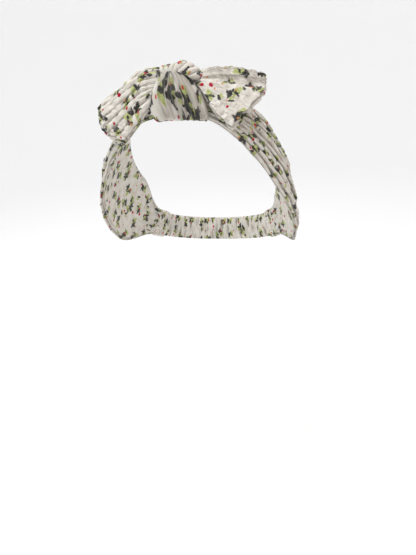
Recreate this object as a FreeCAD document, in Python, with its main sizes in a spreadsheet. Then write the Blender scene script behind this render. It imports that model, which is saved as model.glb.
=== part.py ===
import FreeCAD, Part
import math
import os

import Sketcher

# Knotted turban headband in its worn shape, in millimetres.
# +Z is up, -Y is the wearer's face, +X is the wearer's left.  The origin is the centre of the
# head opening, which is the centre of the ellipsoid that stands for the head.
#
# The band is a gathered cloth tube that runs from cuff to cuff over the crown.  A tie strip
# passes under it at the front, comes up on both sides, crosses on top and leaves as two tails.
# A narrow casing with flat elastic inside closes the loop at the nape.
#
# Places along the loop are given by a reach: 0 at the knot, 1 at the middle of the nape,
# negative on the wearer's right, and over 1 where the nape strap runs on to that side.
# Places on the knot are (across, rearward, outward) from the point of the head under its
# middle.

DRIVING_SIZES = {
    # head opening
    "head_half_width": 77.0,
    "head_half_depth": 100.0,
    "head_half_height": 128.0,
    "knot_lean": 23.0,          # degrees that the knot sits forward of the crown
    "nape_drop": 12.0,          # degrees that the nape sits below the centre
    "ear_back": 28.0,
    "ear_rise": 28.0,
    # band
    "width_at_knot": 33.0,
    "width_at_ear": 63.0,
    "width_at_cuff": 25.0,
    "skin_gap": 0.4,
    "lift_at_knot": 2.3,
    "lining_thickness": 0.9,
    "ply_gap": 0.4,
    "gathers_at_knot": 4.6,     # thickness of the outer ply with its folds
    "gathers_at_crown": 6.2,
    "gathers_at_ear": 3.4,
    # cuffs, casing and elastic
    "cuff_thickness": 8.4,
    "casing_width": 22.0,
    "casing_thickness": 5.4,
    "casing_wall": 1.2,
    "elastic_width": 15.0,
    "elastic_thickness": 1.2,
    "fit_gap": 0.5,
    # tie strip
    "strip_width": 30.0,
    "strip_ply": 1.6,
    "tail_ply_gap": 0.8,
    "left_tail_width": 43.0,
    "right_tail_width": 52.0,
    # thread
    "thread_radius": 0.28,
    "stitch_length": 2.2,
    "stitch_pitch": 3.6,
}

CUFF_START = 0.688              # reach of the band's end and the cuff's first edge
CUFF_END = 0.735
CASING_START = 0.702

doc = FreeCAD.newDocument("knotted_headband")


# ---------------------------------------------------------------- sizes

def make_sheet():
    """Keep every driving dimension in one sheet, each cell with its own alias."""
    sheet = doc.addObject("Spreadsheet::Sheet", "sizes")
    for row, (alias, value) in enumerate(DRIVING_SIZES.items(), start=1):
        sheet.set(f"A{row}", alias)
        sheet.set(f"B{row}", str(value))
        sheet.setAlias(f"B{row}", alias)
    doc.recompute()
    return sheet


sizes = make_sheet()


def size(alias):
    """The number that the sheet holds under an alias."""
    return float(sizes.get(alias))


def number(expression):
    """The value of an expression such as 'sizes.casing_width / 2'."""
    value = sizes.evalExpression(str(expression).replace("sizes.", ""))
    return float(getattr(value, "Value", value))


# ---------------------------------------------------------------- the head and the loop on it

def head_point(direction):
    """Bring a point onto the head along the line to the centre."""
    a, b, c = size("head_half_width"), size("head_half_depth"), size("head_half_height")
    stretch = math.sqrt((direction.x / a) ** 2 + (direction.y / b) ** 2 + (direction.z / c) ** 2)
    return direction * (1 / stretch)


def head_normal(point):
    """The head's outward direction at a point on it."""
    a, b, c = size("head_half_width"), size("head_half_depth"), size("head_half_height")
    normal = FreeCAD.Vector(point.x / a ** 2, point.y / b ** 2, point.z / c ** 2)
    return normal.normalize()


def loop_point(reach):
    """The middle line of the band: a parabola in side view, wrapped onto the head."""
    a, b, c = size("head_half_width"), size("head_half_depth"), size("head_half_height")
    lean, drop = math.radians(size("knot_lean")), math.radians(size("nape_drop"))
    knot = (-b * math.sin(lean), c * math.cos(lean))
    nape = (b * math.cos(drop), -c * math.sin(drop))
    ear = (size("ear_back"), size("ear_rise"))
    reach = (reach + 1) % 2 - 1
    t = (1 - math.cos(math.pi * abs(reach))) / 2
    side_view = []
    for i in range(2):
        pull = 2 * ear[i] - (knot[i] + nape[i]) / 2
        side_view.append((1 - t) ** 2 * knot[i] + 2 * t * (1 - t) * pull + t * t * nape[i])
    y, z = side_view
    x = a * math.sqrt(max(0.0, 1 - (y / b) ** 2 - (z / c) ** 2))
    return FreeCAD.Vector(math.copysign(x, reach), y, z)


def travel_direction(reach):
    """Unit vector along the loop, from the left cuff over the knot to the right cuff."""
    step = 0.002
    return (loop_point(reach + step) - loop_point(reach - step)).normalize()


def smooth(value, start, end):
    """0 before start, 1 after end, with a smooth rise between."""
    part = min(1.0, max(0.0, (value - start) / (end - start)))
    return part * part * (3 - 2 * part)


class Station:
    """A cross-section plane: its origin, and its directions across and outward."""

    def __init__(self, origin, across, outward, curve=60.0):
        self.origin = origin
        self.across = across.normalize()
        self.outward = (outward - self.across * outward.dot(self.across)).normalize()
        self.curve = curve

    def placement(self):
        along = self.across.cross(self.outward)
        rotation = FreeCAD.Rotation(self.across, self.outward, along, "XYZ")
        return FreeCAD.Placement(self.origin, rotation)

    def at(self, across, outward):
        """The point at two distances in this plane, following the section's curve."""
        sink = self.curve - math.sqrt(self.curve ** 2 - across ** 2)
        return self.origin + self.across * across + self.outward * (outward - sink)


def loop_station(reach, width):
    """The station across the band at a reach, curved as the head is over that width."""
    middle = loop_point(reach)
    outward = head_normal(middle)
    across = outward.cross(travel_direction(reach)).normalize()
    front = head_point(middle - across * (width / 2))
    rear = head_point(middle + across * (width / 2))
    half_chord = (rear - front).Length / 2
    rise = (middle - (front + rear) * 0.5).dot(outward)
    curve = (half_chord ** 2 + rise ** 2) / (2 * rise)
    return Station(middle, rear - front, outward, curve)


# ---------------------------------------------------------------- solids from sections

def strip_sketch(body, name, station, width, low, high):
    """A curved strip section: two arcs about one centre, closed by two straight ends.

    width, low and high are expressions: low and high are heights above the station's origin.
    """
    curve = round(station.curve, 2)
    half = number(width) / 2
    centre = FreeCAD.Vector(0, -curve, 0)
    radii = [curve + number(low), curve + number(high)]
    sketch = body.newObject("Sketcher::SketchObject", name)
    sketch.AttachmentSupport = [(origin_plane(body, "XY_Plane"), "")]
    sketch.MapMode = "FlatFace"
    sketch.AttachmentOffset = station.placement()

    ends = []
    for radius in radii:
        spread = math.asin(half / radius)
        circle = Part.Circle(centre, FreeCAD.Vector(0, 0, 1), radius)
        upright = math.pi / 2
        sketch.addGeometry(Part.ArcOfCircle(circle, upright - spread, upright + spread), False)
        drop = math.sqrt(radius ** 2 - half ** 2) - curve
        ends.append((FreeCAD.Vector(half, drop, 0), FreeCAD.Vector(-half, drop, 0)))
    for side in range(2):
        sketch.addGeometry(Part.LineSegment(ends[0][side], ends[1][side]), False)

    start, end, middle = 1, 2, 3
    inner, outer, plus_line, minus_line = 0, 1, 2, 3
    origin, vertical_axis = -1, -2
    add = sketch.addConstraint
    add(Sketcher.Constraint("Coincident", inner, middle, outer, middle))
    add(Sketcher.Constraint("PointOnObject", inner, middle, vertical_axis))
    for line, arc_end in ((plus_line, start), (minus_line, end)):
        add(Sketcher.Constraint("Coincident", line, start, inner, arc_end))
        add(Sketcher.Constraint("Coincident", line, end, outer, arc_end))
        add(Sketcher.Constraint("Vertical", line))
    sized = {
        "centre_depth": (("DistanceY", inner, middle, origin, 1, curve), f"{curve}"),
        "inner_radius": (("Radius", inner, radii[0]), f"{curve} + {low}"),
        "outer_radius": (("Radius", outer, radii[1]), f"{curve} + {high}"),
        "plus_half": (("DistanceX", origin, 1, inner, start, half), f"({width}) / 2"),
        "minus_half": (("DistanceX", inner, end, origin, 1, half), f"({width}) / 2"),
    }
    for label, (arguments, expression) in sized.items():
        index = add(Sketcher.Constraint(*arguments))
        sketch.renameConstraint(index, label)
        sketch.setExpression(f"Constraints.{label}", expression)
    return sketch


def origin_plane(body, role):
    for feature in body.Origin.OriginFeatures:
        if feature.Role == role:
            return feature
    raise ValueError(role)


def loft(body, kind, name, rows):
    """Loft strip sections, each row being (station, width, low, high)."""
    sketches = []
    for index, row in enumerate(rows):
        sketches.append(strip_sketch(body, f"{name}_section_{index}", *row))
    feature = body.newObject(kind, name)
    feature.Profile = sketches[0]
    feature.Sections = sketches[1:]
    feature.Ruled = False
    body.Tip = feature
    return feature


def strip_body(label, rows, tunnel=None):
    """A body lofted through strip sections, with an optional lofted tunnel through it."""
    body = doc.addObject("PartDesign::Body", label)
    body.Label = label
    loft(body, "PartDesign::AdditiveLoft", f"{label}_cloth", rows)
    if tunnel:
        loft(body, "PartDesign::SubtractiveLoft", f"{label}_tunnel", tunnel)
    body.Placement = FreeCAD.Placement()
    return body


def stitch(middle, along):
    """One stitch: a short round length of thread lying half sunk in the cloth."""
    length = size("stitch_length")
    return Part.makeCylinder(size("thread_radius"), length, middle - along * (length / 2), along)


def stitch_group(label, places):
    """Separate stitches in one sub-part, each place being (middle, along)."""
    feature = doc.addObject("Part::Feature", label)
    feature.Label = label
    feature.Shape = Part.makeCompound([stitch(*place) for place in places])
    feature.Placement = FreeCAD.Placement()
    return feature


def spaced(start, end, count):
    """Evenly spaced values from start to end, both included."""
    return [start + (end - start) * index / (count - 1) for index in range(count)]


# ---------------------------------------------------------------- the band

BAND_REACHES = (0.0, 0.07, 0.14, 0.22, 0.31, 0.40, 0.49, 0.57, 0.63, CUFF_START - 0.003)


def both_sides(reaches):
    """The same reaches on both sides of the knot, from the left cuff to the right one."""
    right = [reach for reach in reaches if reach > 0]
    return [-reach for reach in reversed(right)] + [0.0] + right


def band_shares(reach):
    """How much of each named width the band has at a reach: knot, ear and cuff."""
    opened = smooth(abs(reach), 0.08, 0.34)
    gathered = smooth(abs(reach), 0.52, CUFF_START)
    return 1 - opened, opened - gathered, gathered


def band_width(reach):
    """The band's width at a reach, as an expression of the three named widths."""
    shares = band_shares(reach)
    names = ("width_at_knot", "width_at_ear", "width_at_cuff")
    return " + ".join(f"{share:.4f} * sizes.{name}" for share, name in zip(shares, names))


def band_gathers(reach):
    """The thickness of the folded outer ply: squeezed at the knot, fullest beside it."""
    fuller = smooth(abs(reach), 0.08, 0.18)
    flatter = smooth(abs(reach), 0.32, 0.48)
    shares = (1 - fuller, fuller - flatter, flatter)
    names = ("gathers_at_knot", "gathers_at_crown", "gathers_at_ear")
    return " + ".join(f"{share:.4f} * sizes.{name}" for share, name in zip(shares, names))


def band_lift(reach):
    """The height of the lining above the head: more at the knot, where the tie passes under."""
    share = 1 - smooth(abs(reach), 0.07, 0.16)
    return f"sizes.skin_gap + {share:.4f} * sizes.lift_at_knot"


def band_row(reach, narrower, low, high):
    """A section of one ply, with low and high heights above the lining's inner face."""
    width = f"{band_width(reach)} - {narrower}"
    lift = band_lift(reach)
    return loop_station(reach, number(width)), width, f"{lift} + {low}", f"{lift} + {high}"


def make_band():
    lining_top = "sizes.lining_thickness"
    outer_low = f"{lining_top} + sizes.ply_gap"
    lining_inset = 1.2
    lining = []
    outer = []
    for reach in both_sides(BAND_REACHES):
        lining.append(band_row(reach, lining_inset, "0", lining_top))
        outer.append(band_row(reach, 0, outer_low, f"{outer_low} + {band_gathers(reach)}"))
    strip_body("band_lining", lining)
    strip_body("band_outer", outer)


def surface_place(reach, share, height):
    """A stitch place on a loop surface: share is -1 at the front edge and 1 at the rear one."""
    width = number(band_width(reach))
    station = loop_station(reach, width)
    ahead = loop_station(reach + 0.004, width)
    middle = station.at(share * width / 2, height)
    along = (ahead.at(share * width / 2, height) - middle).normalize()
    return middle, along


def make_band_seam():
    """The seam that closes the cloth tube: one row inside, near the rear edge of the lining."""
    seam_share = 0.62
    clear_of_knot = 0.12
    count = 44
    places = []
    for side in (-1, 1):
        for reach in spaced(clear_of_knot, CUFF_START - 0.03, count):
            height = number(band_lift(reach)) + size("lining_thickness") * 0.3
            places.append(surface_place(side * reach, seam_share, height))
    stitch_group("band_seam_stitches", places)


# ---------------------------------------------------------------- cuffs, casing and elastic

def nape_rows(reaches, width, middle, thickness):
    """Stations along the narrow part, with a section about a middle height above the head."""
    rows = []
    for reach in reaches:
        station = loop_station(reach, number(width))
        low = f"{middle} - ({thickness}) / 2"
        rows.append((station, width, low, f"{middle} + ({thickness}) / 2"))
    return rows


NAPE_MIDDLE = "sizes.skin_gap + sizes.cuff_thickness / 2"


def nape_reaches(start):
    """Reaches from one end of the nape strap, round the back, to its other end."""
    return spaced(start, 2 - start, 9)


def make_cuff(side, name):
    """The gathered band end, folded in and sewn shut around the end of the casing."""
    reaches = [side * reach for reach in spaced(CUFF_START, CUFF_END, 3)]
    if side < 0:
        reaches.reverse()
    outer = nape_rows(reaches, "sizes.width_at_cuff + 2", NAPE_MIDDLE, "sizes.cuff_thickness")
    hollow = "sizes.casing_thickness + 2 * sizes.fit_gap"
    beyond = 0.006
    long_reaches = [reaches[0] - beyond, reaches[1], reaches[2] + beyond]
    tunnel = nape_rows(long_reaches, "sizes.casing_width + 2 * sizes.fit_gap", NAPE_MIDDLE, hollow)
    strip_body(f"cuff_{name}", outer, tunnel)


def make_cuff_stitches(side, name):
    """Two rows of stitches across the cuff, on its outer face."""
    height = size("skin_gap") + size("cuff_thickness")
    places = []
    for row in (0.25, 0.75):
        reach = side * (CUFF_START + (CUFF_END - CUFF_START) * row)
        station = loop_station(reach, size("width_at_cuff") + 2)
        half_row = size("width_at_cuff") / 2 - 1.5
        for across in spaced(-half_row, half_row, 7):
            middle = station.at(across, height)
            along = (station.at(across + 0.5, height) - middle).normalize()
            places.append((middle, along))
    stitch_group(f"cuff_stitches_{name}", places)


def make_elastic_tack(side, name):
    """Bars of thread above and below the elastic's end, which hold it in the cuff."""
    middle_height = number(NAPE_MIDDLE)
    clear = size("elastic_thickness") / 2 + size("thread_radius") + 0.35
    station = loop_station(side * (CUFF_START + 0.006), size("elastic_width"))
    places = []
    for height in (middle_height - clear, middle_height + clear):
        for across in spaced(-6.0, 6.0, 5):
            middle = station.at(across, height)
            along = (station.at(across + 0.5, height) - middle).normalize()
            places.append((middle, along))
    stitch_group(f"elastic_tack_{name}", places)


# ---------------------------------------------------------------- the knot

def knot_frame():
    """The knot's origin on the head and its directions: across, rearward and outward."""
    origin = loop_point(0.0)
    outward = head_normal(origin)
    across = FreeCAD.Vector(1, 0, 0)
    rearward = outward.cross(across)
    return origin, across, rearward, outward


def knot_direction(across, rearward, outward):
    _, x, w, n = knot_frame()
    return x * across + w * rearward + n * outward


def knot_point(across, rearward, outward):
    return knot_frame()[0] + knot_direction(across, rearward, outward)


def wrap_row(shift, rearward, outward, facing, width, thickness, curve):
    """One section of the tie where it goes round the band.

    facing is the angle of its outer side: 0 straight ahead of the band, 90 away from the head
    and 180 behind the band.
    """
    angle = math.radians(facing)
    face = knot_direction(0, -math.cos(angle), math.sin(angle))
    station = Station(knot_point(shift, rearward, outward), knot_direction(1, 0, 0), face, curve)
    return station, width, f"-({thickness}) / 2", f"({thickness}) / 2"


def make_knot():
    # rearward, outward and facing follow the tie up the front edge and over the band
    front = [
        wrap_row(4.0, -20.6, 0.9, 0, "sizes.strip_width + 8", "3.8", 110),
        wrap_row(4.0, -21.5, 6.5, 8, "sizes.strip_width + 8", "5.2", 100),
        wrap_row(3.5, -18.3, 12.9, 45, "sizes.strip_width + 6", "6.0", 60),
        wrap_row(2.0, -11.5, 16.0, 75, "sizes.strip_width + 2", "7.0", 34),
        wrap_row(-1.0, -5.0, 17.6, 88, "sizes.strip_width - 8", "6.4", 24),
    ]
    strip_body("knot_front_wrap", front)
    rear = [
        wrap_row(2.0, 20.0, 0.6, 180, "sizes.strip_width", "3.4", 90),
        wrap_row(2.0, 20.7, 5.4, 172, "sizes.strip_width", "3.8", 80),
        wrap_row(1.5, 18.9, 10.4, 140, "sizes.strip_width - 2", "4.0", 48),
    ]
    strip_body("knot_rear_wrap", rear)
    make_under_pass()
    make_crossing()
    make_knot_tacks()


def make_under_pass():
    """The tie between the head and the band, curved both ways as the head is."""
    rows = []
    for rearward in spaced(20.5, -20.0, 5):
        middle = head_point(knot_point(0, rearward, 0))
        station = Station(middle, knot_direction(1, 0, 0), head_normal(middle), 48)
        rows.append((station, "sizes.strip_width - 3", "sizes.skin_gap", "sizes.lift_at_knot"))
    strip_body("knot_under_pass", rows)


def make_crossing():
    """The puffed lobe on top, where the two ends of the tie cross."""
    rows = []
    for across, outward, width, thickness in (
        (-13.4, 11.3, 13, 4.6),
        (-6.0, 13.4, 16, 6.8),
        (3.0, 14.6, 17, 8.4),
        (10.6, 14.2, 16, 7.8),
        (17.0, 12.4, 13, 5.4),
    ):
        station = Station(knot_point(across, 8.2, outward + 0.4), knot_direction(0, 1, 0),
                          knot_direction(0, 0, 1), 22)
        rows.append((station, f"{width}", f"-{thickness} / 2", f"{thickness} / 2"))
    strip_body("knot_crossing", rows)


def make_knot_tacks():
    """Hidden hand stitches that hold the tie to the lining, so the knot stays in the middle."""
    places = []
    for across in (-8.0, 8.0):
        for rearward in (-9.0, 9.0):
            middle = head_point(knot_point(across, rearward, 0))
            outward = head_normal(middle)
            height = size("skin_gap") + size("lift_at_knot") + 0.1
            places.append((middle + outward * (height - 0.2), outward))
    stitch_group("knot_tacks", places)


# ---------------------------------------------------------------- the tails

class Tail:
    """A tail of the tie: a fan-shaped strip that curves from the knot to its hem."""

    def __init__(self, name, side, exit_middle, bend, hem_middle, exit_across, hem_across,
                 exit_width, hem_width, curves):
        self.name = name
        self.side = side
        self.middles = (exit_middle, bend, hem_middle)
        self.acrosses = (exit_across, hem_across)
        self.exit_width = exit_width
        self.hem_width = hem_width
        self.curves = curves

    def middle(self, share):
        """The middle line, from 0 at the knot to 1 at the hem."""
        start, bend, end = (FreeCAD.Vector(*point) for point in self.middles)
        return start * (1 - share) ** 2 + bend * 2 * share * (1 - share) + end * share ** 2

    def station(self, share):
        ahead = self.middle(share + 0.01) - self.middle(share - 0.01)
        first, last = (FreeCAD.Vector(*across) for across in self.acrosses)
        across = first * (1 - share) + last * share
        outward = ahead.cross(across) * self.side
        curve = self.curves[0] * (1 - share) + self.curves[1] * share
        return Station(
            knot_point(*self.middle(share)),
            knot_direction(*across),
            knot_direction(*outward),
            curve,
        )

    def width(self, share):
        opened = smooth(share, -0.25, 1.0)
        return f"{1 - opened:.4f} * ({self.exit_width}) + {opened:.4f} * {self.hem_width}"

    def ply(self, label, low, high):
        shares = spaced(0.0, 1.0, 5)
        if self.side < 0:
            shares.reverse()
        strip_body(label, [(self.station(s), self.width(s), low, high) for s in shares])

    def hem_stitches(self):
        share = 0.94
        station = self.station(share)
        half_row = number(self.width(share)) / 2 - 2.5
        count = int(2 * half_row / size("stitch_pitch")) + 1
        height = size("tail_ply_gap") / 2 + size("strip_ply")
        places = []
        for across in spaced(-half_row, half_row, count):
            middle = station.at(across, height)
            along = (station.at(across + 0.5, height) - middle).normalize()
            places.append((middle, along))
        stitch_group(f"tail_{self.name}_hem_stitches", places)

    def build(self):
        near, far = "sizes.tail_ply_gap / 2", "(sizes.tail_ply_gap / 2 + sizes.strip_ply)"
        self.ply(f"tail_{self.name}_front_ply", near, far)
        self.ply(f"tail_{self.name}_back_ply", f"-{far}", f"-{near}")
        self.hem_stitches()


LEFT_TAIL = Tail(
    "left", -1,
    exit_middle=(-18.4, 1.0, 11.2),
    bend=(-33.0, -4.0, 9.5),
    hem_middle=(-47.0, -12.5, -2.8),
    exit_across=(0.0, 1.0, 0.05),
    hem_across=(-0.51, 0.85, 0.12),
    exit_width="sizes.strip_width - 2",
    hem_width="sizes.left_tail_width",
    curves=(60.0, 60.0),
)

RIGHT_TAIL = Tail(
    "right", 1,
    exit_middle=(20.2, 3.0, 13.6),
    bend=(38.0, 1.0, 14.0),
    hem_middle=(51.0, -2.5, 6.0),
    exit_across=(0.0, 1.0, 0.0),
    hem_across=(0.37, 0.93, 0.02),
    exit_width="sizes.strip_width / 2",
    hem_width="sizes.right_tail_width",
    curves=(26.0, 44.0),
)


# ---------------------------------------------------------------- build, test and write

def make_nape():
    """The narrow casing round the back, and the flat elastic inside it."""
    reaches = nape_reaches(CASING_START)
    inside = "sizes.casing_thickness - 2 * sizes.casing_wall"
    channel = "sizes.casing_width - 2 * sizes.casing_wall"
    outer = nape_rows(reaches, "sizes.casing_width", NAPE_MIDDLE, "sizes.casing_thickness")
    beyond = 0.004
    longer = [reaches[0] - beyond] + reaches[1:-1] + [reaches[-1] + beyond]
    strip_body("nape_casing", outer, nape_rows(longer, channel, NAPE_MIDDLE, inside))
    elastic = nape_reaches(CUFF_START + 0.003)
    strip_body("nape_elastic",
               nape_rows(elastic, "sizes.elastic_width", NAPE_MIDDLE, "sizes.elastic_thickness"))


def make_casing_stitches():
    """Two rows of stitches along the casing, one each side of the elastic."""
    height = number(NAPE_MIDDLE) + size("casing_thickness") / 2
    row_offset = size("elastic_width") / 2 + 1.2
    count = 34
    places = []
    for across in (-row_offset, row_offset):
        for reach in spaced(0.79, 1.21, count):
            station = loop_station(reach, size("casing_width"))
            middle = station.at(across, height)
            ahead = loop_station(reach + 0.004, size("casing_width")).at(across, height)
            places.append((middle, (ahead - middle).normalize()))
    stitch_group("casing_stitches", places)


def sub_parts():
    found = []
    for thing in doc.Objects:
        if thing.TypeId in ("PartDesign::Body", "Part::Feature"):
            if thing.getParentGeoFeatureGroup() is None:
                found.append(thing)
    return found


def main():
    make_band()
    make_band_seam()
    for side, name in ((-1, "left"), (1, "right")):
        make_cuff(side, name)
        make_cuff_stitches(side, name)
        make_elastic_tack(side, name)
    make_nape()
    make_casing_stitches()
    make_knot()
    LEFT_TAIL.build()
    RIGHT_TAIL.build()
    doc.recompute()
    for thing in doc.Objects:
        if "Invalid" in thing.State or "Error" in thing.State:
            raise RuntimeError(f"{thing.Label} did not compute")
    os.makedirs("parts", exist_ok=True)
    for part in sub_parts():
        if part.Shape.isNull() or not part.Shape.isValid():
            raise RuntimeError(f"{part.Label} has no valid shape")
    for part in sub_parts():
        part.Shape.exportStep(f"parts/{part.Label}.step")
        print(part.Label, round(part.Shape.Volume), "mm3", len(part.Shape.Solids))


main()
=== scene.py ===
import math

import bpy
import numpy as np
from mathutils import Matrix, Vector


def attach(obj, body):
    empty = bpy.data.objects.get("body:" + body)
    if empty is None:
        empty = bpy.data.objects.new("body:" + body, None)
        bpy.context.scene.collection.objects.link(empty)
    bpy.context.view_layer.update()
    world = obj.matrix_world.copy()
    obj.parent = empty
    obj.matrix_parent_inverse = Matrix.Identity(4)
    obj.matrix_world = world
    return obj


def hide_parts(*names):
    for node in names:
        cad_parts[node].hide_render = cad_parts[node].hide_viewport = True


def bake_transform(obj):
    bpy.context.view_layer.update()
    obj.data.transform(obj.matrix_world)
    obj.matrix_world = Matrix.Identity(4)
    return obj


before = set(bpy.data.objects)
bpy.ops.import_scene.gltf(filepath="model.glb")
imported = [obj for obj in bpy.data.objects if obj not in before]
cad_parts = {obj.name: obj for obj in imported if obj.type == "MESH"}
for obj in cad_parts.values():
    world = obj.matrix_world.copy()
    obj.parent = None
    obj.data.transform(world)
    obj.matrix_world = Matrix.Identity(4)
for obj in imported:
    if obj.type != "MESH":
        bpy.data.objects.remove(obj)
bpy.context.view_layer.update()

# Lengths are millimetres until make_mesh() turns them into metres.  The band lies on an
# ellipsoid, the head, and a place along the loop is a reach: 0 at the knot, 1 at the nape.
MM = 0.001
HEAD = np.array([77.0, 100.0, 128.0])
KNOT_LEAN = math.radians(23)
NAPE_DROP = math.radians(12)
EAR = (28.0, 28.0)
CUFF_START = 0.688
CUFF_END = 0.735
LINING_TOP = 0.9
STRAP_MIDDLE = 4.6              # height of the casing's middle above the head
CASING_SIZE = (23.5, 6.2)       # width and thickness, with the gathers left out
CUFF_SIZE = (27.5, 8.8)
ELASTIC_WIDTH = 15.0


# ---------------------------------------------------------------- shape tools

def smooth(value, start, end):
    part = np.clip((value - start) / (end - start), 0, 1)
    return part * part * (3 - 2 * part)


def unit(vectors):
    return vectors / np.linalg.norm(vectors, axis=-1, keepdims=True)


def ripples(a, b, wave_a, wave_b, seed, count=14):
    """A smooth random height, about -1 to 1, from waves in many directions."""
    random = np.random.default_rng(seed)
    total = 0
    for _ in range(count):
        angle = random.uniform(0, 2 * math.pi)
        stretch = random.uniform(0.6, 1.5)
        phase = random.uniform(0, 2 * math.pi)
        turn = a * math.cos(angle) / wave_a + b * math.sin(angle) / wave_b
        total = total + np.sin(2 * math.pi * stretch * turn + phase)
    return total / math.sqrt(count)


def arches(fold, roundness=2.4):
    """Rounded folds side by side: 1 along each crest, 0 in the sharp valleys between."""
    return 1 - np.abs(2 * (fold - np.floor(fold)) - 1) ** roundness


def per_fold(fold, along, steps, low, high, seed):
    """A value that each fold has for itself, and that drifts along it."""
    random = np.random.default_rng(seed)
    table = random.uniform(low, high, (64, steps + 2))
    index = np.floor(fold).astype(int) % 64
    place = np.clip(along, 0, 1) * steps
    step = np.floor(place).astype(int)
    part = smooth(place - step, 0, 1)
    return table[index, step] * (1 - part) + table[index, step + 1] * part


def spline_weights(count, places):
    """Weights of evenly spaced points in the smooth curve through them, at places 0 to 1."""
    gap = 1 / (count - 1)
    bend = np.zeros((count, count))
    pull = np.zeros((count, count))
    bend[0, 0] = bend[-1, -1] = 1
    for i in range(1, count - 1):
        bend[i, i - 1:i + 2] = np.array([1, 4, 1]) * gap / 6
        pull[i, i - 1:i + 2] = np.array([1, -2, 1]) / gap
    curvature = np.linalg.solve(bend, pull)
    position = np.clip(places, 0, 1) * (count - 1)
    first = np.minimum(position.astype(int), count - 2)
    right = (position - first)[:, None]
    left = 1 - right
    points = np.eye(count)
    straight = left * points[first] + right * points[first + 1]
    curved = (left ** 3 - left) * curvature[first] + (right ** 3 - right) * curvature[first + 1]
    return straight + curved * gap * gap / 6


def patch(control, rows, columns):
    """A smooth surface through a grid of control points, control[row][column] = (x, y, z)."""
    control = np.array(control, float)
    down = spline_weights(control.shape[0], np.linspace(0, 1, rows))
    over = spline_weights(control.shape[1], np.linspace(0, 1, columns))
    return np.einsum("ri,ijk,cj->rck", down, control, over)


def normals(points):
    return unit(np.cross(np.gradient(points, axis=1), np.gradient(points, axis=0)))


def blurred(values, times=1):
    """Take the sharpest steps out of a grid of values."""
    for _ in range(times):
        padded = np.pad(values, ((1, 1), (1, 1)) + ((0, 0),) * (values.ndim - 2), mode="edge")
        sides = padded[:-2, 1:-1] + padded[2:, 1:-1] + padded[1:-1, :-2] + padded[1:-1, 2:]
        values = values * 0.5 + sides * 0.125
    return values


# ---------------------------------------------------------------- meshes

def grid_faces(rows, columns, closed=False):
    """Four corners for each face of a grid, whose columns may join round."""
    index = np.arange(rows * columns).reshape(rows, columns)
    if closed:
        index = np.concatenate([index, index[:, :1]], axis=1)
    corners = (index[:-1, :-1], index[:-1, 1:], index[1:, 1:], index[1:, :-1])
    return np.stack(corners, axis=-1).reshape(-1, 4)


def ring_cap(columns):
    """Faces across a flat ring of points, from one half of it to the other."""
    pairs = [(i, i + 1, columns - i - 1, (columns - i) % columns) for i in range(columns // 2)]
    return np.array([corners for corners in pairs if len(set(corners)) == 4])


def rim_faces(rows, columns):
    """Faces that join a front grid to the back grid that follows it, round its edges."""
    index = np.arange(rows * columns).reshape(rows, columns)
    edge = np.concatenate([index[0, ::-1], index[1:, 0], index[-1, 1:], index[-2::-1, -1]])
    a, b = edge[:-1], edge[1:]
    back = rows * columns
    return np.stack([a, b, b + back, a + back], axis=-1)


def make_mesh(name, points, faces, cloth, material, crest=None):
    """A smooth-shaded object from points in mm.

    The UV layer "cloth" holds the flat cloth's places in mm, and "fold" the height in a fold,
    from 0 in its valley to 1 on its crest.
    """
    mesh = bpy.data.meshes.new(name)
    mesh.vertices.add(len(points))
    mesh.vertices.foreach_set("co", (points * MM).ravel())
    mesh.loops.add(faces.size)
    mesh.loops.foreach_set("vertex_index", faces.ravel())
    mesh.polygons.add(len(faces))
    mesh.polygons.foreach_set("loop_start", np.arange(0, faces.size, faces.shape[1]))
    mesh.update(calc_edges=True)
    if crest is None:
        crest = np.ones(len(points))
    # The fold layer's crest values tell the cloth material where to paint shade into the fold
    # valleys.
    for layer_name, values in (("cloth", cloth), ("fold", np.stack([crest, crest * 0], 1))):
        layer = mesh.uv_layers.new(name=layer_name)
        layer.data.foreach_set("uv", values[faces.ravel()].ravel())
    mesh.polygons.foreach_set("use_smooth", np.ones(len(faces), bool))
    mesh.materials.append(material)
    mesh.validate()
    piece = bpy.data.objects.new(name, mesh)
    bpy.context.scene.collection.objects.link(piece)
    return piece


def cloth_piece(name, points, cloth, material, thickness=0.8, crest=None):
    """A grid of points as cloth with two faces and a real thickness."""
    rows, columns = points.shape[:2]
    outward = normals(points)
    front = (points + outward * thickness / 2).reshape(-1, 3)
    back = (points - outward * thickness / 2).reshape(-1, 3)
    faces = grid_faces(rows, columns)
    both = [faces, faces[:, ::-1] + rows * columns, rim_faces(rows, columns)]
    flat = np.concatenate([cloth.reshape(-1, 2)] * 2)
    if crest is not None:
        crest = np.concatenate([crest.ravel()] * 2)
    return make_mesh(name, np.concatenate([front, back]), np.concatenate(both), flat, material,
                     crest)


def measured_places(points, share, start, squeeze=(1.0, 1.0)):
    """Places on the flat cloth for a draped grid, from its own distances.

    Each row's distances are scaled part of the way, share, to the mean row's width.  squeeze
    says how much cloth is gathered into each distance, over the columns and over the rows.
    """
    over = np.linalg.norm(np.diff(points, axis=1), axis=2)
    over = np.concatenate([np.zeros((len(points), 1)), np.cumsum(over, axis=1)], axis=1)
    total = over[:, -1:]
    over = (over - total / 2) * (total.mean() / total) ** share
    down = np.linalg.norm(np.diff(points, axis=0), axis=2).mean(axis=1)
    down = np.concatenate([[0], np.cumsum(down)])[:, None] * np.ones_like(over)
    return np.stack([start[0] + over * squeeze[0], start[1] + down * squeeze[1]], axis=-1)


def cloth_places(rows, columns, width, length, start=(0.0, 0.0)):
    """Places on the flat cloth for a grid: width over its columns, length over its rows."""
    across = start[0] + np.linspace(0, width, columns)[None, :] * np.ones((rows, 1))
    along = start[1] + np.linspace(0, length, rows)[:, None] * np.ones((1, columns))
    return np.stack([across, along], axis=-1)


# ---------------------------------------------------------------- the head and the loop

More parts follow.
